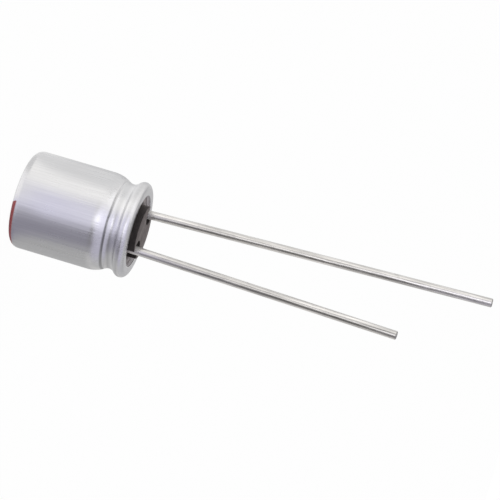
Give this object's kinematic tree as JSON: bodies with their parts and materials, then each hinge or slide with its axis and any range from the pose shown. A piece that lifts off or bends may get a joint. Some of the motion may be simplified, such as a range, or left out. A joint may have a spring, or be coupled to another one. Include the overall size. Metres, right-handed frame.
{
  "type": "aluminium polymer capacitor",
  "caption": "Upright aluminium polymer capacitor: a drawn can with a rolled groove and a rim bent over to a flat lip, a rubber bung and straight wire leads of unequal length.",
  "frame": {"origin": "centre of the can's closed end, on which the part stands", "axes": "+Z along the can's axis from the closed end to the tips of the leads, +X from the axis to the cathode lead (the short one), the anode lead (the long one) at -X"},
  "size_m": [0.0064, 0.0064, 0.0303],
  "materials": {
    "can_aluminium": "satin drawn sheet",
    "bung_rubber": "matte moulded",
    "lead_tin": "tinned wire",
    "tab_aluminium": "plain",
    "winding_paper": "wound foil and separator",
    "tape_film": "thin adhesive film"
  },
  "bodies": {
    "root": {"can": "can_aluminium", "rubber_bung": "bung_rubber", "wound_element": "winding_paper", "winding_tape": "tape_film", "anode_tab": "tab_aluminium", "cathode_tab": "tab_aluminium", "anode_lead": "lead_tin", "cathode_lead": "lead_tin"}
  },
  "joints": []
}
